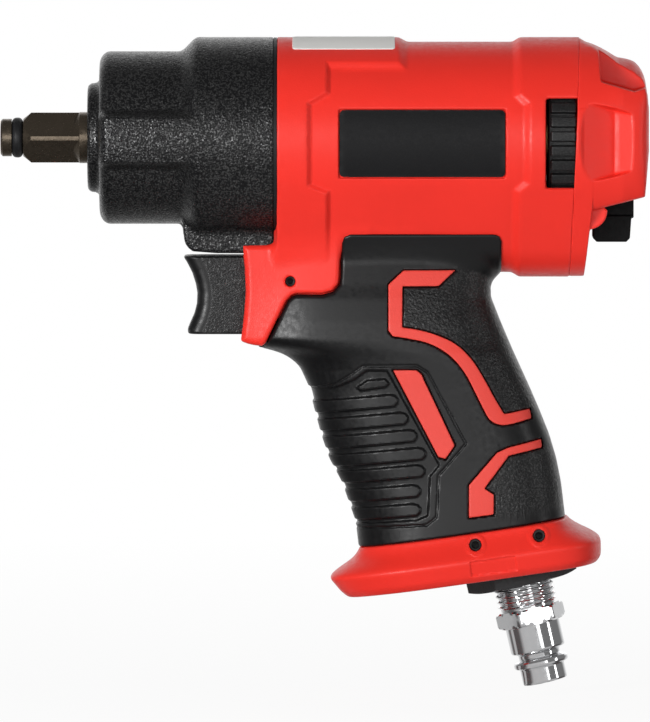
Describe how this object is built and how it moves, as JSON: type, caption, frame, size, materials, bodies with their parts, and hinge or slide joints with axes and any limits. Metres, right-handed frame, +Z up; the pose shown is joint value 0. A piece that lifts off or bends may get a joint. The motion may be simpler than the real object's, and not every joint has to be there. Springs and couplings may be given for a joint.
{
  "type": "impact wrench",
  "caption": "Pistol-grip air impact wrench with a square drive, swinging hammers, vane motor, rear power ring, direction lever, sliding trigger and an air plug under its flared base.",
  "frame": {"origin": "centre of the square drive's front end, on the motor axis", "axes": "+X runs back along the motor axis from the drive to the end cap, +Z is up with the handle below the barrel, +Y completes the right-handed frame"},
  "size_m": [0.1616, 0.0506, 0.1627],
  "materials": {
    "red_plastic": "satin red moulded composite",
    "grip_rubber": "matt black, part smooth and part grainy",
    "black_plastic": "fine-grained black",
    "black_casting": "black powder coat over a cast grain",
    "phosphated_steel": "dark brown phosphate",
    "hardened_steel": "ground, lightly oiled",
    "bright_steel": "ground",
    "black_steel": "black oxide",
    "chrome": "bright plated",
    "bronze": "sintered bronze",
    "seal_rubber": "black nitrile",
    "vane_composite": "laminated brown resin",
    "valve_plastic": "natural acetal",
    "felt": "pressed felt",
    "black_bushing": "black anodised"
  },
  "bodies": {
    "body": {"hammer_case": "black_casting", "anvil_bushing": "bronze", "thrust_washer": "bright_steel", "case_gasket": "seal_rubber", "case_screws": "black_steel", "front_end_plate": "hardened_steel", "front_bearing": "bright_steel", "cylinder": "hardened_steel", "rear_end_plate": "hardened_steel", "rear_bearing": "bright_steel", "motor_dowel": "bright_steel", "motor_gasket": "seal_rubber", "valve_sleeve": "bronze", "housing": "red_plastic", "grip_overmould": "grip_rubber", "end_cap": "red_plastic", "long_bolts": "black_steel", "cap_screws": "black_steel", "detent_ball": "bright_steel", "detent_spring": "bright_steel", "roll_pin": "black_steel", "throttle_sleeve": "bronze", "throttle_spring": "bright_steel", "base_collar": "red_plastic", "collar_pins": "black_steel", "muffler": "felt", "inlet_bushing": "black_bushing", "inlet_seal": "seal_rubber", "inlet_screen": "bright_steel", "air_plug": "chrome"},
    "rotor": {"rotor": "hardened_steel", "rotor_vanes": "vane_composite", "hammer_cage": "hardened_steel", "hammer_pins": "bright_steel"},
    "anvil": {"anvil": "phosphated_steel", "anvil_o_ring": "seal_rubber"},
    "front_hammer": {"front_hammer": "hardened_steel"},
    "rear_hammer": {"rear_hammer": "hardened_steel"},
    "trigger": {"trigger": "black_plastic", "trigger_rod": "bright_steel", "throttle_valve": "seal_rubber"},
    "lever": {"direction_lever": "black_plastic", "lever_screw": "bright_steel", "reverse_valve": "valve_plastic"},
    "power_ring": {"power_ring": "black_plastic"}
  },
  "joints": [
    {"name": "rotor_spin", "type": "hinge", "parent": "body", "child": "rotor", "pos_m": [0, 0, 0], "axis": [1, 0, 0], "continuous": true},
    {"name": "anvil_spin", "type": "hinge", "parent": "body", "child": "anvil", "pos_m": [0, 0, 0], "axis": [1, 0, 0], "continuous": true},
    {"name": "front_hammer_swing", "type": "hinge", "parent": "rotor", "child": "front_hammer", "pos_m": [0.0406, 0, 0.0126], "axis": [1, 0, 0], "range_deg": [-6, 6]},
    {"name": "rear_hammer_swing", "type": "hinge", "parent": "rotor", "child": "rear_hammer", "pos_m": [0.0509, 0, -0.0126], "axis": [1, 0, 0], "range_deg": [-6, 6]},
    {"name": "trigger_slide", "type": "slide", "parent": "body", "child": "trigger", "axis": [1, 0, 0], "range_m": [0, 0.005], "stiffness_N_per_m": 900, "springref_m": -0.01, "deforming": ["throttle_spring"]},
    {"name": "lever_turn", "type": "hinge", "parent": "body", "child": "lever", "pos_m": [0.152, 0, 0], "axis": [1, 0, 0], "range_deg": [-16, 16]},
    {"name": "power_ring_turn", "type": "hinge", "parent": "body", "child": "power_ring", "pos_m": [0.14, 0, 0], "axis": [1, 0, 0], "range_deg": [-10, 10]}
  ],
  "couplings": [
    {"joint": "anvil_spin", "follows": "rotor_spin", "ratio": 1}
  ]
}
